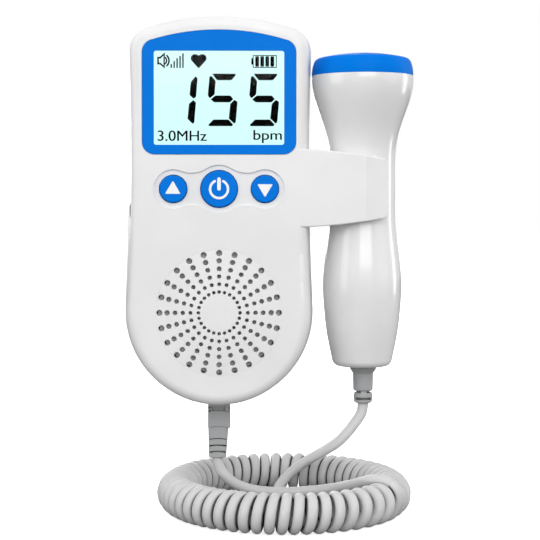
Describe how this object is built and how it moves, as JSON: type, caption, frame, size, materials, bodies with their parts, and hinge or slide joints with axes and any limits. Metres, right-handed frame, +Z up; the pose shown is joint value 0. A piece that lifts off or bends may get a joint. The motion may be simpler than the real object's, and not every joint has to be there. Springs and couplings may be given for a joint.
{
  "type": "fetal doppler monitor",
  "caption": "Pocket fetal doppler: a hand unit with display, keys and speaker grille, a probe held in its side clip, and a curly lead between them.",
  "frame": {"origin": "centre of the hand unit's flat back face", "axes": "+Y out of the flat back face, +Z up along the hand unit, +X towards the probe"},
  "size_m": [0.1002, 0.0885, 0.1721],
  "materials": {
    "white_shell": "satin",
    "probe_white": "gloss",
    "bezel_blue": "satin",
    "key_blue": "satin",
    "cap_blue": "gloss",
    "window_clear": "clear",
    "lcd": "backlit",
    "diffuser": "milky",
    "holder": "matt",
    "contact_rubber": "matt",
    "board_green": "solder mask",
    "chip_black": "matt",
    "connector_white": "matt",
    "screw_steel": "zinc plated",
    "switch_black": "matt",
    "plunger": "matt",
    "basket_steel": "black",
    "magnet": "dull",
    "cone_paper": "film",
    "foam": "open cell",
    "cell": "wrapped can",
    "contact_nickel": "nickel",
    "contact_gold": "gold plated",
    "jack_black": "matt",
    "socket_grey": "matt",
    "plug_clear": "frosted",
    "boot_grey": "satin",
    "cord_grey": "satin",
    "crystal": "ceramic",
    "cork": "foam"
  },
  "bodies": {
    "unit": {"front_shell": "white_shell", "rear_shell": "white_shell", "case_screws": "screw_steel", "display_bezel": "bezel_blue", "display_window": "window_clear", "lcd_glass": "lcd", "lcd_backlight": "diffuser", "lcd_frame": "holder", "lcd_strip": "contact_rubber", "main_board": "board_green", "board_screws": "screw_steel", "board_chips": "chip_black", "board_connectors": "connector_white", "key_switches": "switch_black", "speaker_grille": "white_shell", "speaker_gasket": "foam", "speaker_frame": "basket_steel", "speaker_cone": "cone_paper", "speaker_magnet": "magnet", "battery_cells": "cell", "battery_plates": "contact_nickel", "battery_springs": "contact_nickel", "headphone_jack": "jack_black", "cord_socket": "socket_grey", "socket_board": "board_green", "socket_contacts": "contact_gold", "plug_lead": "cord_grey", "probe_lead": "cord_grey", "curly_ring": "cord_grey"},
    "power_key": {"power_button": "key_blue", "power_plunger": "plunger"},
    "volume_up_key": {"volume_up_button": "key_blue", "volume_up_plunger": "plunger"},
    "volume_down_key": {"volume_down_button": "key_blue", "volume_down_plunger": "plunger"},
    "probe": {"probe_front_shell": "probe_white", "probe_rear_shell": "probe_white", "probe_cap": "cap_blue", "crystal_pair": "crystal", "crystal_backing": "cork", "probe_board": "board_green", "probe_gland": "boot_grey"},
    "door": {"battery_door": "white_shell"},
    "cord_plug": {"plug_body": "plug_clear", "plug_blades": "contact_gold", "plug_boot": "boot_grey"}
  },
  "joints": [
    {"name": "power_press", "type": "slide", "parent": "unit", "child": "power_key", "axis": [0, 1, 0], "range_m": [0, 0.0006], "stiffness_N_per_m": 2000, "springref_m": -0.0004},
    {"name": "volume_up_press", "type": "slide", "parent": "unit", "child": "volume_up_key", "axis": [0, 1, 0], "range_m": [0, 0.0006], "stiffness_N_per_m": 2000, "springref_m": -0.0004},
    {"name": "volume_down_press", "type": "slide", "parent": "unit", "child": "volume_down_key", "axis": [0, 1, 0], "range_m": [0, 0.0006], "stiffness_N_per_m": 2000, "springref_m": -0.0004},
    {"name": "probe_release", "type": "slide", "parent": "unit", "child": "probe", "axis": [1, 0, 0], "range_m": [0, 0.035], "deforming": ["probe_lead"]},
    {"name": "door_hinge", "type": "hinge", "parent": "unit", "child": "door", "pos_m": [0, -0.0007, 0.0033], "axis": [-1, 0, 0], "range_deg": [0, 70]},
    {"name": "plug_release", "type": "slide", "parent": "unit", "child": "cord_plug", "axis": [0, 0, -1], "range_m": [0, 0.012], "deforming": ["plug_lead"]}
  ]
}
